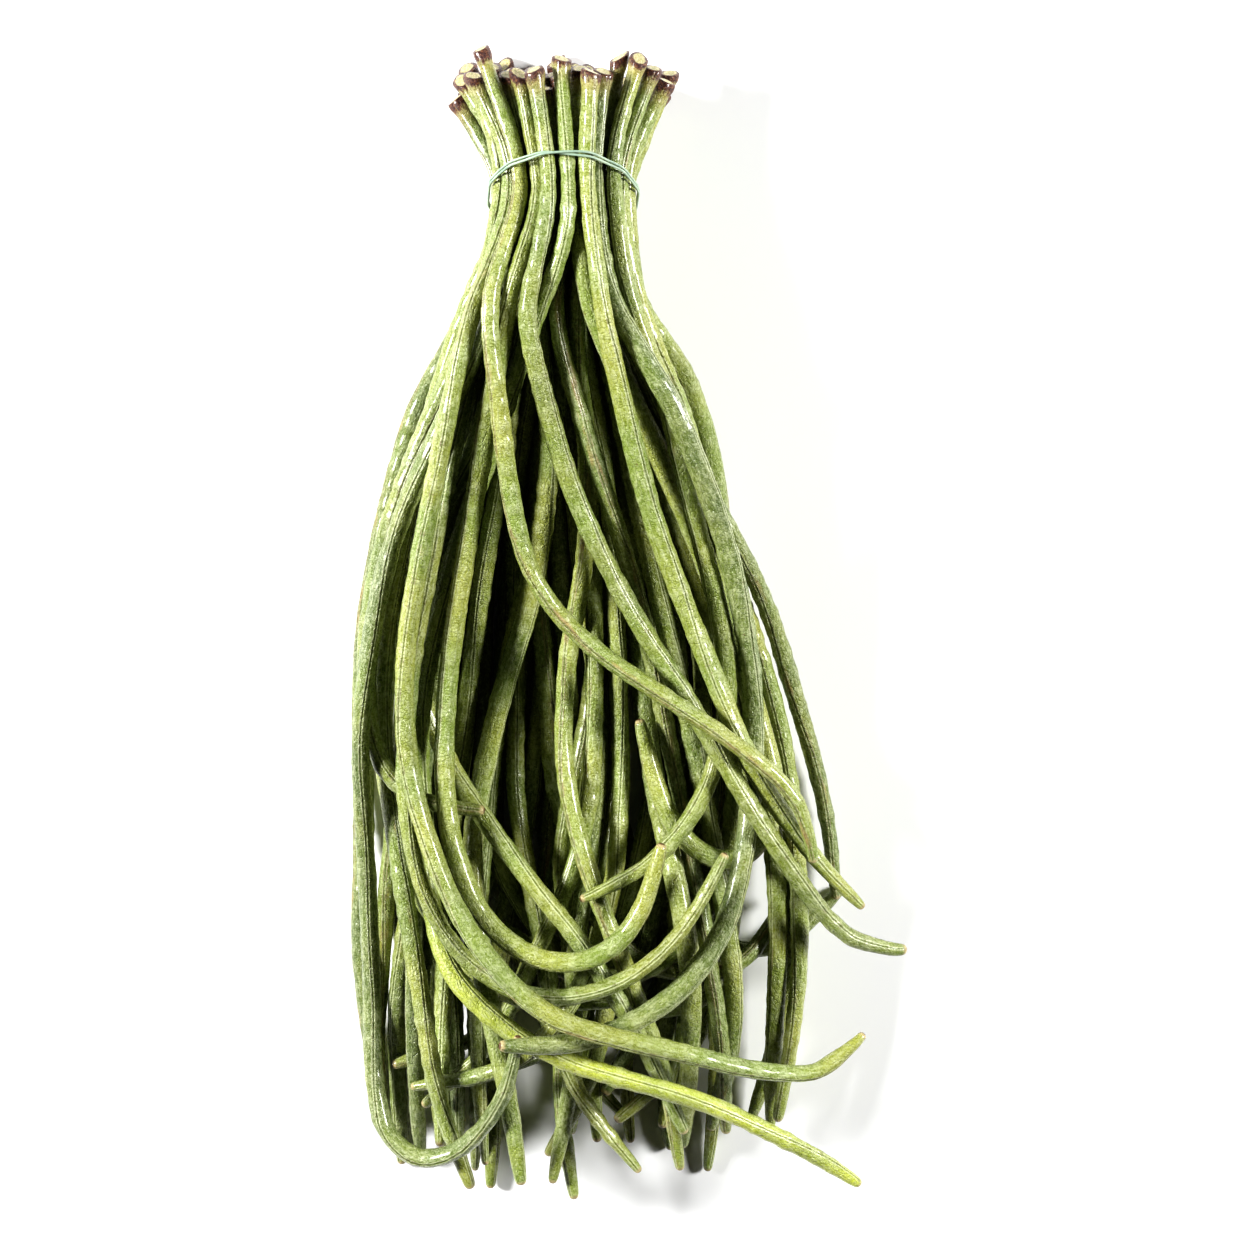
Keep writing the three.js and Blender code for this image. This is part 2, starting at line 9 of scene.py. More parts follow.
# %% Load the frame
import math
import bmesh
import bpy
import numpy as np
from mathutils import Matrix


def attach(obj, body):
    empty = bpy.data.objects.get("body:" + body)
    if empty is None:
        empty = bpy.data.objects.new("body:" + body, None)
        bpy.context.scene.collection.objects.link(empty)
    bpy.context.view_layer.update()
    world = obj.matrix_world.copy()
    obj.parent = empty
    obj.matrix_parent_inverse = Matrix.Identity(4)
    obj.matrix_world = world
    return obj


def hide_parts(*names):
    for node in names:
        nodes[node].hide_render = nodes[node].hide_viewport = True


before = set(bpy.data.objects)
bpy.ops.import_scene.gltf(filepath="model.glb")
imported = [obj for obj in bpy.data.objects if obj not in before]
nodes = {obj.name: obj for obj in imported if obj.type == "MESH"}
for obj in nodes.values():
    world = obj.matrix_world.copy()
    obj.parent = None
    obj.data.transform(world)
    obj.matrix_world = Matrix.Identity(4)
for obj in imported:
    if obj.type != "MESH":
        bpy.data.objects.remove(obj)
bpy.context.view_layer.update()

MM = 0.001
WELD = 1e-5  # corners nearer than this are one, in metres

# %% [markdown]
# ## Where the camera stands
#
# The bundle lies flat, so the camera looks down on it, with the stems at the top of the picture. It leans
# ten degrees towards the stems, which brings their cut ends into view. A long lens keeps the pods at the
# edges from leaning outwards. The camera comes first, because everything after it is judged through it.

# %% Camera
CAMERA_LEAN = math.radians(10)
CAMERA_AWAY = 1.22  # metres
LENS = 85  # millimetres
LOOK_AT = (0.0, 0.008, 0.03)

camera_data = bpy.data.cameras.new("camera")
camera_data.lens = LENS
camera = bpy.data.objects.new("camera", camera_data)
camera.location = (
    LOOK_AT[0],
    LOOK_AT[1] + CAMERA_AWAY * math.sin(CAMERA_LEAN),
    LOOK_AT[2] + CAMERA_AWAY * math.cos(CAMERA_LEAN),
)
camera.rotation_euler = (-CAMERA_LEAN, 0, 0)
bpy.context.collection.objects.link(camera)
bpy.context.scene.camera = camera
print("camera at", [round(c, 3) for c in camera.location])

# %% [markdown]
# ## Reading a pod's line out of the frame
#
# A tube in the frame is a stack of rings between two poles, one in the cut stem and one in the tip. Walking
# outwards from the stem's pole, one edge at a time, meets the rings in order. Their middles give the line
# that the pod follows and their radii how thick it is. The walk is done on a copy, so the frame's own mesh
# stays.


# %% A pod's line and thickness
def line_of(node):
    """The middles of a tube's rings from the stem to the tip, and its largest radius."""
    tube = bmesh.new()
    tube.from_mesh(node.data)
    bmesh.ops.remove_doubles(tube, verts=tube.verts, dist=WELD)
    poles = sorted(tube.verts, key=lambda v: -len(v.link_edges))[:2]
    stem = max(poles, key=lambda v: v.co.y)
    ring, seen, middles, radius = {stem}, {stem}, [], 0.0
    while ring:
        corners = np.array([v.co[:] for v in ring])
        middles.append(corners.mean(axis=0))
        radius = max(radius, np.linalg.norm(corners - middles[-1], axis=1).mean())
        ring = {e.other_vert(v) for v in ring for e in v.link_edges} - seen
        seen |= ring
    tube.free()
    return np.array(middles), radius


sample_line, sample_radius = line_of(nodes["bean_01"])
print("bean_01 has", len(sample_line), "middles and is", round(2 * sample_radius / MM, 2), "mm thick")

# %% [markdown]
# ## Making the line smooth
#
# The ring middles are joined by straight pieces. A real pod bends smoothly, so a curve is passed through the
# middles. A centripetal Catmull-Rom curve goes through every point and never loops, even where a long
# stretch meets a short one. It is then measured, so that a place on it can be asked for by its distance from
# the stem.


# %% A smooth line
def smooth_line(points, steps=14):
    """A finely stepped smooth curve through points, with the distance of each step from the start."""
    padded = np.vstack([2 * points[0] - points[1], points, 2 * points[-1] - points[-2]])
    knots = np.concatenate([[0], np.cumsum(np.linalg.norm(np.diff(padded, axis=0), axis=1) ** 0.5)])
    curve = []
    for k in range(len(points) - 1):
        (p0, p1, p2, p3), (t0, t1, t2, t3) = padded[k : k + 4], knots[k : k + 4]
        t = np.linspace(t1, t2, steps, endpoint=False)[:, None]
        a1 = ((t1 - t) * p0 + (t - t0) * p1) / (t1 - t0)
        a2 = ((t2 - t) * p1 + (t - t1) * p2) / (t2 - t1)
        a3 = ((t3 - t) * p2 + (t - t2) * p3) / (t3 - t2)
        b1 = ((t2 - t) * a1 + (t - t0) * a2) / (t2 - t0)
        b2 = ((t3 - t) * a2 + (t - t1) * a3) / (t3 - t1)
        curve.append(((t2 - t) * b1 + (t - t1) * b2) / (t2 - t1))
    curve = np.vstack([*curve, points[-1:]])
    run = np.concatenate([[0], np.cumsum(np.linalg.norm(np.diff(curve, axis=0), axis=1))])
    return curve, run


sample_curve, sample_run = smooth_line(sample_line)
print("bean_01 is", round(sample_run[-1] / MM), "mm long")

# %% [markdown]
# ## One straight pod to start from
#
# Every pod has the same skin of rings and sides, closed at both ends, so the mesh is made once and copied.
# A sphere is already such a skin: its two poles become the middle of the cut stem and the very tip, and its
# rings slide along the pod's line. The rings stand close together at the ends, where the shape is finest.

# %% The template
SIDES = 36
RINGS = 440
STEM_RINGS = 30
TIP_RINGS = 26
CUT_SHARES = [0, 0.22, 0.42, 0.56, 0.64]  # radii of the rings on the cut face, as shares of its rim

template = bmesh.new()
bmesh.ops.create_uvsphere(template, u_segments=SIDES, v_segments=RINGS, radius=1)
for face in template.faces:
    face.smooth = True
template_mesh = bpy.data.meshes.new("pod_template")
template.to_mesh(template_mesh)
template.free()

corners = np.array([v.co[:] for v in template_mesh.vertices])
ring_of = np.rint(np.arccos(np.clip(corners[:, 2], -1, 1)) / math.pi * RINGS).astype(int)
turn_of = np.arctan2(corners[:, 1], corners[:, 0])
print("template:", len(corners), "vertices,", len(template_mesh.polygons), "faces")

# %% [markdown]
# ## The outline of a pod
#
# From the stem down: an oblique cut face, a swollen collar where the flower sat, a narrow neck, a body that
# stays even for most of its length, and a tip that tapers late. Some tips are blunt and some are slender.
# Distances are in millimetres. The tables give the share of the full radius, and the smaller one counts.

# %% Outline
STEM_DISTANCE = [0, 0.3, 1.2, 3, 4.6, 6.8, 9.5, 14, 30, 80, 150]
STEM_SHARE = [0.7, 0.79, 0.87, 0.94, 0.95, 0.88, 0.77, 0.75, 0.78, 0.81, 1]
TIP_DISTANCE = [0, 0.2, 0.8, 2, 4, 7, 14, 26, 60, 110]
SLENDER_TIP = [0, 0.21, 0.36, 0.44, 0.48, 0.56, 0.68, 0.8, 0.94, 1]
BLUNT_TIP = [0, 0.27, 0.47, 0.6, 0.67, 0.73, 0.8, 0.86, 0.95, 1]
INSIDE = 0.955  # a little thinner than the frame's tube, because the relief is added to it
FIRST_RING = 0.2
STEM_REACH = 16  # the close rings at the stem reach this far
TIP_REACH = 14


def ring_distances(length):
    """How far from the stem each ring stands, in mm."""
    cut = np.zeros(len(CUT_SHARES))
    stem = np.linspace(FIRST_RING, STEM_REACH, STEM_RINGS)
    tip = length - np.linspace(TIP_REACH, 0, TIP_RINGS) ** 1.5 / TIP_REACH**0.5
    body_rings = RINGS + 1 - len(cut) - STEM_RINGS - TIP_RINGS
    body = np.linspace(stem[-1], tip[0], body_rings + 2)[1:-1]
    return np.concatenate([cut, stem, body, tip])


def share_at(distance, length, bluntness):
    """The share of the full radius at distances from the stem."""
    tip = (1 - bluntness) * np.array(SLENDER_TIP) + bluntness * np.array(BLUNT_TIP)
    from_stem = np.interp(distance, STEM_DISTANCE, STEM_SHARE)
    return INSIDE * np.minimum(from_stem, np.interp(length - distance, TIP_DISTANCE, tip))


print("rings stand at", ring_distances(480)[:10].round(1), "...", ring_distances(480)[-4:].round(1))

# %% [markdown]
# ## Seeds, seams and the small unevenness of something grown
#
# A pod has two seams, one on each side, each a fine groove between two low ridges. Between the seams the
# seeds push the skin out, every eight or nine millimetres, and the skin sinks a little between them. Fine
# wrinkles run across the pod where it has started to dry. Each pod draws its own numbers from a seeded
# generator, so that no two are alike and every run gives the same ones.

# %% Relief
SEAM_CROWDING = 0.34  # how far the sides of the mesh crowd towards the seams, in radians
SEAM_HALF_GAP = 0.6
SEED_EVERY = 8.6
SEED_SHIFT = 2
SEED_REACH = 2.7
FIRST_SEED = 18
LAST_SEED = 14  # from the tip


def bell(x, width):
    """A smooth hump of height one."""
    return np.exp(-((x / width) ** 2))


def seed_swelling(distance, length, rng):
    """How far the seeds push each ring out, from nothing to one."""
    places = np.arange(FIRST_SEED, length - LAST_SEED, SEED_EVERY)
    places = places + rng.uniform(-SEED_SHIFT, SEED_SHIFT, len(places))
    strengths = rng.uniform(0.25, 1, len(places))
    return (strengths * bell(distance[:, None] - places, SEED_REACH)).sum(axis=1)


def slow_noise(distance, rng, wavelength):
    """A gentle wave of mixed lengths, between about minus one and one."""
    waves = [(wavelength * 1.7**k, rng.uniform(0, 2 * math.pi)) for k in range(3)]
    return sum(np.sin(distance * 2 * math.pi / long + phase) for long, phase in waves) / 2


rng = np.random.default_rng(1)
print("swelling along 40 mm:", seed_swelling(np.arange(60.0, 100, 5), 480, rng).round(2))

# %% [markdown]
# ## The oblique cut
#
# A knife rarely meets a stem squarely. The cut is a plane through the end of the pod, so each side of the pod
# starts where the plane meets it. The rings near the end are moved down to their own starting places, and the
# shorter the way to the next whole ring, the closer together they come.

# %% Cut
CUT_FADES = 14.0
CUT_SLOPES = (0.45, 0.95)
CUT_FACING = 0.5


def cut_back(distance, reach, heading, rim, rng):
    """How far each vertex near the stem moves down for the cut plane, in mm."""
    slope = math.tan(rng.uniform(*CUT_SLOPES))
    facing = rng.normal(0, CUT_FACING)
    plane = slope * (rim + np.minimum(reach, rim) * np.cos(heading - facing))
    return plane * np.clip(1 - distance / CUT_FADES, 0, 1)


print("the cut fades out", CUT_FADES, "mm down the pod")

# %% [markdown]
# ## Shaping a pod
#
# Each vertex of the template knows its ring and its turn round the pod. The ring gives a place on the smooth
# line, a direction and the radius, the turn says which way from the line to go, and the relief is added on
# top. What the skin's colours need later is stored on the mesh: the vertex's place on the straightened pod,
# its distances from stem, tip and seam, and the habits of this pod.


# %% Directions along a line
EVEN_STEPS = 500


def line_frame(curve, run, distance):
    """Places on a line at distances in mm from its start, and the two directions across it there."""
    at = np.clip(distance * MM / run[-1], 0, 1)
    even = np.linspace(0, 1, EVEN_STEPS)
    even_line = np.stack([np.interp(even, run / run[-1], c) for c in curve.T], axis=1)
    ahead = np.gradient(even_line, axis=0)
    place = np.stack([np.interp(at, even, c) for c in even_line.T], axis=1)
    ahead = np.stack([np.interp(at, even, c) for c in ahead.T], axis=1)
    ahead /= np.linalg.norm(ahead, axis=1)[:, None]
    up = np.array([0, 0, 1]) - ahead * ahead[:, 2:]
    up /= np.linalg.norm(up, axis=1)[:, None]
    return place, up, np.cross(up, ahead)


sample_place, sample_up, _ = line_frame(sample_curve, sample_run, np.array([0.0, 100.0]))
print("bean_01's line at 100 mm:", sample_place[1].round(3), "up", sample_up[1].round(2))


# %% A pod
NECK = 9  # the relief starts here and ends at TIP_SMOOTH from the tip
TIP_SMOOTH = 5
RELIEF_RISE = 12
FLATNESS = 0.04
SEAM_STARTS, SEAM_TWISTS = 1.2, 1.1  # radians either way
BEADING = (0.25, 0.6)
LUMP_HEIGHT, LUMP_LENGTH = 0.12, 15
WRINKLE_HEIGHT, WRINKLE_LENGTH = 0.08, 3.4
BACK_SEAM = 0.7  # how strong the back seam is beside the front one
COLLAR_AT = 4.2
COLLAR_REACH = 2.4
RIDGE_HEIGHT = 0.2
RIDGE_REACH = 0.26
GROOVE_DEPTH = 0.16
GROOVE_REACH = 0.24
NO_SEAM = 9.0  # a distance from the seam at which it leaves no mark
PATTERN_SHIFT = 613.0  # moves the colour pattern on for each pod, so that no two share it


def make_pod(name, node, seed, tone, blush):
    """A detailed pod along a CAD tube, as an object."""
    rng = np.random.default_rng(seed)
    middles, radius = line_of(node)
    radius /= MM
    curve, run = smooth_line(middles)
    length = run[-1] / MM
    distance = ring_distances(length)
    bluntness = rng.uniform(0, 1)

    seam_turn = rng.uniform(-SEAM_STARTS, SEAM_STARTS)
    seam_turn = seam_turn + rng.uniform(-SEAM_TWISTS, SEAM_TWISTS) * distance / length
    seam_turn += 0.3 * slow_noise(distance, rng, 90)
    swell = seed_swelling(distance, length, rng)
    beading = rng.uniform(*BEADING) * (1 + 0.5 * slow_noise(distance, rng, 60))
    lumps = LUMP_HEIGHT * slow_noise(distance, rng, LUMP_LENGTH)
    wrinkles = WRINKLE_HEIGHT * slow_noise(distance, rng, WRINKLE_LENGTH)

    ring = ring_of
    turn = turn_of - SEAM_CROWDING * np.sin(2 * turn_of)
    heading = turn + seam_turn[ring]
    rim = radius * share_at(0.0, length, bluntness)
    cut = np.concatenate([CUT_SHARES, np.ones(len(distance) - len(CUT_SHARES))])[ring]
    down = distance[ring]
    down = down + cut_back(down, cut * rim, heading, rim, rng)
    reach = radius * share_at(down, length, bluntness)
    reach = np.where(cut < 1, cut * rim, reach)

    from_seam = reach * np.minimum(np.abs(turn), math.pi - np.abs(turn))
    full = np.clip(np.minimum(down - NECK, length - down - TIP_SMOOTH) / RELIEF_RISE, 0, 1)
    front = np.where(np.abs(turn) < math.pi / 2, 1, BACK_SEAM)
    reach = reach * (1 + full * FLATNESS * np.cos(2 * turn))
    reach += full * beading[ring] * (swell[ring] - 0.4) * np.abs(np.sin(turn)) ** 0.7
    reach += full * (lumps[ring] + wrinkles[ring] * np.sin(2 * turn + down / 7))
    reach += full * 0.06 * np.sin(4 * turn + down / 23 + seed)
    reach += full * front * RIDGE_HEIGHT * bell(from_seam - SEAM_HALF_GAP, RIDGE_REACH)
    reach -= full * front * GROOVE_DEPTH * bell(from_seam, GROOVE_REACH)
    collar = bell(down - COLLAR_AT, COLLAR_REACH) * (cut >= 1)
    reach += collar * (0.14 * np.sin(5 * turn + seed) + 0.08 * np.sin(9 * turn + 2 * seed))

    place, up, aside = line_frame(curve, run, down)
    sideways = up * np.cos(heading)[:, None] + aside * np.sin(heading)[:, None]
    place = place + sideways * (reach * MM)[:, None]

    mesh = template_mesh.copy()
    mesh.name = name
    mesh.vertices.foreach_set("co", place.astype(np.float32).ravel())
    straight = np.stack([reach * np.cos(turn), reach * np.sin(turn), down + PATTERN_SHIFT * seed], axis=1)
    from_rim = np.where(cut < 1, (cut - 1) * rim, distance[ring])
    distances = np.stack([from_rim, length - down, np.where(cut < 1, NO_SEAM, from_seam)], axis=1)
    habits = np.stack([np.full(len(ring), tone), np.full(len(ring), blush), swell[ring] * full], axis=1)
    for title, values in (("pod_place", straight), ("pod_distances", distances), ("pod_habits", habits)):
        attribute = mesh.attributes.new(title, "FLOAT_VECTOR", "POINT")
        attribute.data.foreach_set("vector", values.astype(np.float32).ravel())
    mesh.update()
    pod = bpy.data.objects.new(name, mesh)
    bpy.context.collection.objects.link(pod)
    return pod, length


# %% All the pods
BRIGHT_NODE = "bean_45"
pod_nodes = sorted(name for name in nodes if name.startswith("bean_"))
tones = np.random.default_rng(7)
pods = {}
lengths = []
for count, name in enumerate(pod_nodes, start=1):
    tone, blush = tones.uniform(0, 1), tones.uniform(0, 1) ** 2
    pod, length = make_pod(name.replace("bean", "pod"), nodes[name], count, tone, blush)
    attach(pod, "root")
    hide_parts(name)
    pods[name] = pod
    lengths.append(length)
bpy.data.meshes.remove(template_mesh)
print(len(pods), "pods,", round(min(lengths)), "to", round(max(lengths)), "mm long")

# %% [markdown]
# ## Putting shader nodes together
#
# The colours are built from Blender's own texture nodes. A few short helpers keep the cells readable: one
# adds any node and returns an output socket, and the others make the nodes used most, turn a picked colour
# into a linear one, and start a node group.


# %% Node helpers
def add(tree, kind, inputs=(), out=0, **settings):
    """Adds a shader node, fills its inputs with numbers or links, and returns one of its outputs."""
    made = tree.nodes.new("ShaderNode" + kind)
    for key, value in settings.items():
        setattr(made, key, value)
    for key, value in dict(inputs).items():
        if isinstance(value, bpy.types.NodeSocket):
            tree.links.new(value, made.inputs[key])
        else:
            made.inputs[key].default_value = value
    return made.outputs[out]


def calc(tree, operation, a, b=0.0):
    """One sum with two numbers."""
    return add(tree, "Math", {0: a, 1: b}, operation=operation)


def fade(tree, value, low, high, start=0.0, end=1.0):
    """Goes smoothly from start to end as value goes from low to high."""
    inputs = {"Value": value, "From Min": low, "From Max": high, "To Min": start, "To Max": end}
    return add(tree, "MapRange", inputs, interpolation_type="SMOOTHSTEP")


def blend(tree, factor, a, b):
    """A colour between a and b."""
    return add(tree, "Mix", {0: factor, 6: a, 7: b}, out=2, data_type="RGBA")


def stretched(tree, vector, scale):
    """A vector with each axis scaled."""
    return add(tree, "VectorMath", {0: vector, 1: scale}, operation="MULTIPLY")


def noise(tree, vector, scale, detail=3.0, roughness=0.55, distortion=0.0):
    """Cloudy noise between nought and one."""
    inputs = {"Vector": vector, "Scale": scale, "Detail": detail, "Roughness": roughness}
    return add(tree, "TexNoise", {**inputs, "Distortion": distortion})


def colour(red, green, blue):
    """A picked screen colour, 0 to 255, as the linear colour that shaders use."""
    linear = [((c / 255 + 0.055) / 1.055) ** 2.4 if c > 10 else c / 255 / 12.92 for c in (red, green, blue)]
    return (*linear, 1.0)


def start_group(name, inputs, outputs):
    """An empty node group with named sockets. Returns the group and its two ends."""
    group = bpy.data.node_groups.new(name, "ShaderNodeTree")
    for title, kind in inputs.items():
        group.interface.new_socket(title, in_out="INPUT", socket_type="NodeSocket" + kind)
    for title, kind in outputs.items():
        group.interface.new_socket(title, in_out="OUTPUT", socket_type="NodeSocket" + kind)
    return group, group.nodes.new("NodeGroupInput").outputs, group.nodes.new("NodeGroupOutput").inputs


print("helpers ready; picked green", [round(c, 3) for c in colour(144, 154, 73)[:3]])

# %% [markdown]
# ## Mottled green skin
#
# Bean skin is never one green. Broad cloudy areas go from deep to fresh green, fine fibres run along the pod,
# and a faint net of darker veins covers everything. The noise that raises the skin's bump also colours it:
# the raised patches and the swellings over the seeds are painted paler, a painted highlight, and the sunken
# patches are painted deeper green, a painted shade, so these patches are partly mottle and partly painted
# light. Both pod materials use this, so it is a group. It works in the straightened pod's millimetres, so the
# pattern follows the pod round its bends.

# %% Mottled skin group
mottle, given, result = start_group(
    "mottled skin",
    {
        "Place": "Vector", "Tone": "Float", "Swell": "Float",
        "Deep": "Color", "Fresh": "Color", "Sunny": "Color", "Pale": "Color",
    },
    {"Color": "Color", "Relief": "Float"},
)
broad = noise(mottle, stretched(mottle, given["Place"], (1, 1, 0.4)), 0.09, 3)
yellowing = noise(mottle, stretched(mottle, given["Place"], (0.25, 0.25, 1)), 0.016, 2)
patchy = noise(mottle, stretched(mottle, given["Place"], (1, 1, 0.5)), 0.8, 4, 0.6, 0.4)
fibres = noise(mottle, stretched(mottle, given["Place"], (1, 1, 0.09)), 1.5, 3, 0.6)
drift = noise(mottle, given["Place"], 0.5, 2)
wandering = add(mottle, "VectorMath", {0: given["Place"], 1: drift}, operation="ADD")
cells = stretched(mottle, wandering, (1, 1, 1.4))
veins = add(mottle, "TexVoronoi", {"Vector": cells, "Scale": 0.5}, feature="DISTANCE_TO_EDGE")
net = fade(mottle, veins, 0.0, 0.14, 1, 0)
lively = blend(mottle, fade(mottle, yellowing, 0.4, 0.62), given["Fresh"], given["Sunny"])
own_tone = calc(mottle, "MULTIPLY", given["Tone"], 0.6)
depth = calc(mottle, "ADD", calc(mottle, "MULTIPLY", broad, 0.9), own_tone)
ground = blend(mottle, fade(mottle, depth, 0.2, 0.95), given["Deep"], lively)
# painted highlight: paler where the bump noise is high and over the seeds' swellings, partly real mottle
pale_patch_and_seed_highlight = calc(mottle, "ADD", patchy, calc(mottle, "MULTIPLY", given["Swell"], 0.12))
patched_and_highlit = blend(mottle, fade(mottle, pale_patch_and_seed_highlight, 0.42, 0.8, 0.1, 0.5), ground, given["Pale"])
# painted shade: deeper green where the bump noise is low, in the skin's hollows, partly real mottle
deep_patch_and_hollow_shade = blend(mottle, fade(mottle, patchy, 0.26, 0.44, 0.25, 0), patched_and_highlit, given["Deep"])
streaked = blend(mottle, fade(mottle, fibres, 0.5, 0.76, 0, 0.4), deep_patch_and_hollow_shade, given["Pale"])
netted = blend(mottle, calc(mottle, "MULTIPLY", net, 0.12), streaked, given["Deep"])
mottle.links.new(netted, result["Color"])
relief = calc(mottle, "SUBTRACT", patchy, calc(mottle, "MULTIPLY", net, 0.3))
mottle.links.new(relief, result["Relief"])
print("mottled skin:", len(mottle.nodes), "nodes")

# %% [markdown]
# ## Seams and brown marks
#
# The groove of each seam is a thin dark line between two ridges that are painted pale, a painted highlight
# along the raised ridges. Handling and age leave brown on the ridges of some pods, a few streaks along them
# and scattered specks. The group gives four masks: the groove, the ridges' painted highlight, the fine brown
# lines and specks, and the soft blush.

# %% Seams and marks group
marks, given, result = start_group(
    "seams and marks",
    {"Place": "Vector", "Seam": "Float", "Amount": "Float"},
    {"Groove": "Float", "Ridge Highlight": "Float", "Lines": "Float", "Blush": "Float"},
)
uneven = noise(marks, stretched(marks, given["Place"], (0.3, 0.3, 1)), 0.35, 4, 0.7)
groove = fade(marks, given["Seam"], 0.12, 0.4, 1, 0)
marks.links.new(calc(marks, "MULTIPLY", groove, fade(marks, uneven, 0.3, 0.6, 0.35, 1)), result["Groove"])
off_ridge = calc(marks, "ABSOLUTE", calc(marks, "SUBTRACT", given["Seam"], SEAM_HALF_GAP))
ridge = fade(marks, off_ridge, 0.1, 0.36, 1, 0)
marks.links.new(ridge, result["Ridge Highlight"])
wear_and_sheen = calc(marks, "ADD", uneven, calc(marks, "MULTIPLY", given["Amount"], 0.2))
ridge_line = calc(marks, "MULTIPLY", ridge, fade(marks, wear_and_sheen, 0.56, 0.72))
spots = add(marks, "TexVoronoi", {"Vector": given["Place"], "Scale": 0.28}, feature="F1")
spot_gate = fade(marks, noise(marks, given["Place"], 0.16, 2), 0.55, 0.64)
specks = calc(marks, "MULTIPLY", fade(marks, spots, 0.07, 0.15, 1, 0), spot_gate)
marks.links.new(calc(marks, "MAXIMUM", ridge_line, specks), result["Lines"])
streaks = noise(marks, stretched(marks, given["Place"], (1, 1, 0.2)), 0.3, 4, 0.6)
near_seam = fade(marks, given["Seam"], 0.4, 3.5, 0.14, 0)
gate = calc(marks, "ADD", calc(marks, "MULTIPLY", given["Amount"], 0.2), near_seam)
marks.links.new(fade(marks, calc(marks, "ADD", streaks, gate), 0.78, 1.02, 0, 0.7), result["Blush"])
print("seams and marks:", len(marks.nodes), "nodes")

# %% [markdown]
# ## The two ends
#
# The cut face is pale and dry, its rim and the collar behind it dark purple brown with a ragged edge, and the
# tip ends in a small tan scar. The ends are found by distance along the pod, roughened with noise. On the cut
# face that distance is below nought and grows towards the middle.

# %% End marks group
ends, given, result = start_group(
    "end marks",
    {"Place": "Vector", "From Stem": "Float", "From Tip": "Float", "Amount": "Float"},
    {"Cut": "Float", "Collar": "Float", "Tinge": "Float", "Scar": "Float"},
)
ragged = noise(ends, stretched(ends, given["Place"], (1, 1, 0.35)), 0.8, 4, 0.65)
wobble = calc(ends, "SUBTRACT", ragged, 0.5)
fresher = calc(ends, "MULTIPLY", calc(ends, "SUBTRACT", 0.4, given["Amount"]), 4.0)
shifted = calc(ends, "ADD", given["From Stem"], fresher)
rough_stem = calc(ends, "ADD", shifted, calc(ends, "MULTIPLY", wobble, 13.0))
rough_rim = calc(ends, "ADD", given["From Stem"], calc(ends, "MULTIPLY", wobble, 1.2))
ends.links.new(fade(ends, rough_rim, -0.75, -0.35, 1, 0), result["Cut"])
ends.links.new(fade(ends, rough_stem, 2.6, 6.0, 1, 0), result["Collar"])
ends.links.new(fade(ends, rough_stem, 4.0, 17.0, 0.5, 0), result["Tinge"])
rough_tip = calc(ends, "ADD", given["From Tip"], calc(ends, "MULTIPLY", wobble, 2.4))
ends.links.new(fade(ends, rough_tip, 0.8, 2.6, 1, 0), result["Scar"])
print("end marks:", len(ends.nodes), "nodes")

# %% [markdown]
# ## Pod skin
#
# The material puts the groups together. It reads the numbers stored on each mesh, so one material serves
# every pod but one and still gives each its own green. The waxy gloss comes from a low roughness, which the
# brown, dry places lose, under a thin coat like the wax on the skin. The one bright pod gets the same recipe
# with yellower greens towards its tip.

# %% Pod materials
CREAM = colour(212, 196, 152)
PITH = colour(170, 168, 108)
COLLAR = colour(70, 36, 30)
UMBER = colour(132, 86, 56)
TAN = colour(168, 142, 96)
RUSSET = colour(98, 70, 40)
HUSK = colour(184, 168, 124)
GROOVE = colour(78, 88, 30)
GREENS = (colour(64, 86, 11), colour(118, 137, 35), colour(151, 155, 52), colour(212, 216, 178))
BRIGHT_DEEP = colour(104, 124, 24)
BRIGHT = colour(196, 204, 62)
BRIGHT_FADES = (170, 280)  # millimetres from the tip


def use(tree, group, inputs):
    """Places a node group and returns its outputs."""
    placed = tree.nodes.new("ShaderNodeGroup")
    placed.node_tree = group
    for key, value in inputs.items():
        if isinstance(value, bpy.types.NodeSocket):
            tree.links.new(value, placed.inputs[key])
        else:
            placed.inputs[key].default_value = value
    return placed.outputs


def stored(tree, title):
    """A vector stored on the mesh."""
    return add(tree, "Attribute", out="Vector", attribute_name=title)


def split(tree, vector):
    """The three numbers of a vector."""
    made = tree.nodes.new("ShaderNodeSeparateXYZ")
    tree.links.new(vector, made.inputs[0])
    return made.outputs


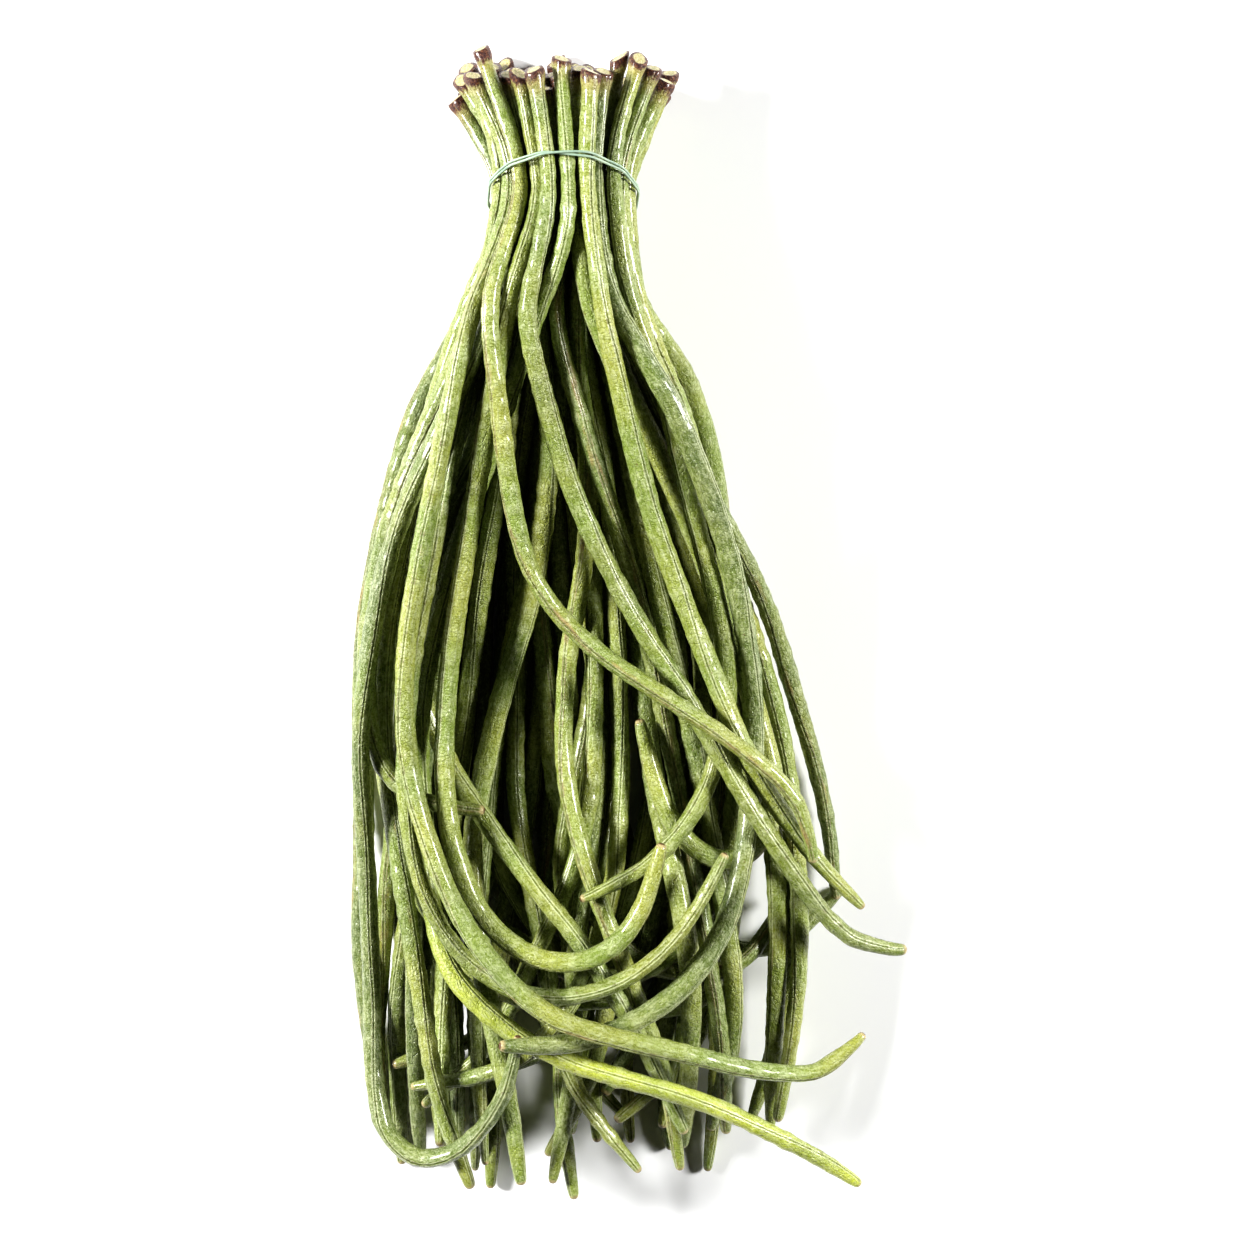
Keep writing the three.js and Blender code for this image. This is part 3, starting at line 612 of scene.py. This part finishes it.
def pod_skin(name, deep, fresh, sunny, pale, bright=None):
    """A pod's material in four greens, and a fifth for the half towards the tip of a bright pod."""
    material = bpy.data.materials.new(name)
    material.use_nodes = True
    tree = material.node_tree
    shader = tree.nodes["Principled BSDF"]
    place = stored(tree, "pod_place")
    from_stem, from_tip, from_seam = split(tree, stored(tree, "pod_distances"))
    tone, blush, swell = split(tree, stored(tree, "pod_habits"))
    if bright:
        fresh = sunny = blend(tree, fade(tree, from_tip, *BRIGHT_FADES), bright, fresh)
    greens = {"Deep": deep, "Fresh": fresh, "Sunny": sunny, "Pale": pale}
    skin = use(tree, mottle, {"Place": place, "Tone": tone, "Swell": swell, **greens})
    mark = use(tree, marks, {"Place": place, "Seam": from_seam, "Amount": blush})
    end = use(tree, ends, {"Place": place, "From Stem": from_stem, "From Tip": from_tip, "Amount": blush})
    grain = noise(tree, place, 1.1, 3, 0.6)

    # painted highlight: the raised seam ridges are painted half way to the pale green
    base = blend(tree, calc(tree, "MULTIPLY", mark["Ridge Highlight"], 0.5), skin["Color"], pale)
    base = blend(tree, calc(tree, "MULTIPLY", mark["Groove"], 0.7), base, GROOVE)
    base = blend(tree, mark["Blush"], base, TAN)
    base = blend(tree, calc(tree, "MULTIPLY", mark["Lines"], 0.6), base, RUSSET)
    base = blend(tree, end["Tinge"], base, TAN)
    base = blend(tree, end["Collar"], base, blend(tree, fade(tree, grain, 0.45, 0.68), COLLAR, UMBER))
    face = blend(tree, fade(tree, grain, 0.35, 0.65), CREAM, PITH)
    base = blend(tree, end["Cut"], base, face)
    base = blend(tree, end["Scar"], base, blend(tree, fade(tree, from_tip, 0.2, 0.7), RUSSET, HUSK))
    tree.links.new(base, shader.inputs["Base Color"])

    dry = calc(tree, "MAXIMUM", mark["Blush"], calc(tree, "MAXIMUM", end["Collar"], end["Scar"]))
    waxy = fade(tree, skin["Relief"], 0.2, 0.8, 0.26, 0.42)
    tree.links.new(calc(tree, "ADD", waxy, calc(tree, "MULTIPLY", dry, 0.25)), shader.inputs["Roughness"])
    height = calc(tree, "ADD", skin["Relief"], calc(tree, "MULTIPLY", grain, 0.35))
    bump = add(tree, "Bump", {"Strength": 0.8, "Distance": 0.0009, "Height": height})
    tree.links.new(bump, shader.inputs["Normal"])
    shader.inputs["Coat Weight"].default_value = 0.5
    shader.inputs["Coat Roughness"].default_value = 0.2
    return material


green_skin = pod_skin("pod skin", *GREENS)
bright_skin = pod_skin("bright pod skin", BRIGHT_DEEP, *GREENS[1:], bright=BRIGHT)
for name, pod in pods.items():
    pod.data.materials.clear()
    pod.data.materials.append(bright_skin if name == BRIGHT_NODE else green_skin)
print("pod materials:", green_skin.name, "and", bright_skin.name)

# %% [markdown]
# ## The rubber band
#
# The frame's band is already one closed loop wound twice, with six flat sides. A copy of it is merged, its
# triangles are joined back into four-sided faces, and a subdivision surface rounds it off.

# %% Band
ANY_ANGLE = 3.1
band_mesh = bpy.data.meshes.new("band")
strand = bmesh.new()
strand.from_mesh(nodes["rubber_band"].data)
bmesh.ops.remove_doubles(strand, verts=strand.verts, dist=WELD)
bmesh.ops.join_triangles(
    strand, faces=strand.faces, angle_face_threshold=ANY_ANGLE, angle_shape_threshold=ANY_ANGLE
)
for face in strand.faces:
    face.smooth = True
strand.to_mesh(band_mesh)
strand.free()
band = bpy.data.objects.new("band", band_mesh)
bpy.context.collection.objects.link(band)
rounding = band.modifiers.new("rounding", "SUBSURF")
rounding.levels = rounding.render_levels = 2
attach(band, "root")
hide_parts("rubber_band")
print("band:", len(band_mesh.polygons), "faces before rounding")

# %% Band material
rubber = bpy.data.materials.new("band rubber")
rubber.use_nodes = True
tree = rubber.node_tree
shader = tree.nodes["Principled BSDF"]
spot = add(tree, "TexCoord", out="Object")
wear_and_sheen = noise(tree, spot, 900, 3)
cloud = noise(tree, spot, 120, 2)
tint = blend(tree, fade(tree, cloud, 0.3, 0.7), colour(140, 162, 144), colour(178, 194, 172))
# painted sheen: fine near-white flecks where the noise is high; the same noise sets the roughness and a faint
# bump
sheen_flecked = blend(tree, fade(tree, wear_and_sheen, 0.5, 0.8, 0, 0.4), tint, colour(220, 232, 214))
tree.links.new(sheen_flecked, shader.inputs["Base Color"])
tree.links.new(fade(tree, wear_and_sheen, 0.3, 0.7, 0.42, 0.58), shader.inputs["Roughness"])
bump = add(tree, "Bump", {"Strength": 0.3, "Distance": 0.0002, "Height": wear_and_sheen})
tree.links.new(bump, shader.inputs["Normal"])
band_mesh.materials.clear()
band_mesh.materials.append(rubber)
print("band material:", rubber.name)

# %% [markdown]
# ## Floor and light
#
# The floor is plain and nearly white. Two soft square lamps stand low at the left and the right, a little
# towards the stems, and the left one is the stronger. Low side light brightens each pod's flanks and leaves
# the gaps between the pods dark, which is how a bundle looks, and the world adds hardly any light to them.
# Far from the bundle the lamps would leave the paper grey, so there it glows, for the camera only, as a
# studio's swept backdrop looks. The world is white to the camera for the same reason.

# %% Floor
FLOOR_REACH = 6
GLOW_STARTS, GLOW_FULL = 0.7, 1.4  # metres from the bundle's middle
floor_mesh = bpy.data.meshes.new("floor")
sheet = bmesh.new()
bmesh.ops.create_grid(sheet, x_segments=1, y_segments=1, size=FLOOR_REACH)
sheet.to_mesh(floor_mesh)
sheet.free()
floor = bpy.data.objects.new("floor", floor_mesh)
bpy.context.collection.objects.link(floor)
paper = bpy.data.materials.new("floor paper")
paper.use_nodes = True
tree = paper.node_tree
shader = tree.nodes["Principled BSDF"]
shader.inputs["Base Color"].default_value = (0.95, 0.95, 0.95, 1)
shader.inputs["Roughness"].default_value = 0.8
spot = add(tree, "TexCoord", out="Object")
away = add(tree, "VectorMath", {0: spot}, out="Value", operation="LENGTH")
far = fade(tree, away, GLOW_STARTS, GLOW_FULL)
glow = calc(tree, "MULTIPLY", far, add(tree, "LightPath", out="Is Camera Ray"))
tree.links.new(blend(tree, glow, (0, 0, 0, 1), (1, 1, 1, 1)), shader.inputs["Emission Color"])
shader.inputs["Emission Strength"].default_value = 1
floor_mesh.materials.append(paper)
print("floor laid")


# %% Lamps
WORLD_LIGHT = 0.015
WORLD_SEEN = 1


def soft_lamp(name, place, size, power):
    """A square area lamp that faces the middle of the bundle's underside, with its power in watts."""
    data = bpy.data.lights.new(name, "AREA")
    data.shape = "SQUARE"
    data.size = size
    data.energy = power
    lamp = bpy.data.objects.new(name, data)
    lamp.location = place
    tilt = math.atan2(math.hypot(place[0], place[1]), place[2])
    lamp.rotation_euler = (tilt, 0, math.atan2(place[0], -place[1]))
    bpy.context.collection.objects.link(lamp)


soft_lamp("left lamp", (-1.45, 0.45, 1.0), 0.35, 51)
soft_lamp("right lamp", (1.5, 0.4, 0.95), 0.4, 38)
world = bpy.data.worlds.new("studio")
world.use_nodes = True
sky = world.node_tree
sky.nodes["Background"].inputs["Color"].default_value = (1, 1, 1, 1)
brightness = fade(sky, add(sky, "LightPath", out="Is Camera Ray"), 0, 1, WORLD_LIGHT, WORLD_SEEN)
sky.links.new(brightness, sky.nodes["Background"].inputs["Strength"])
bpy.context.scene.world = world
bpy.context.scene.view_settings.view_transform = "Standard"
bpy.context.scene.view_settings.look = "High Contrast"
print("lamps lit")
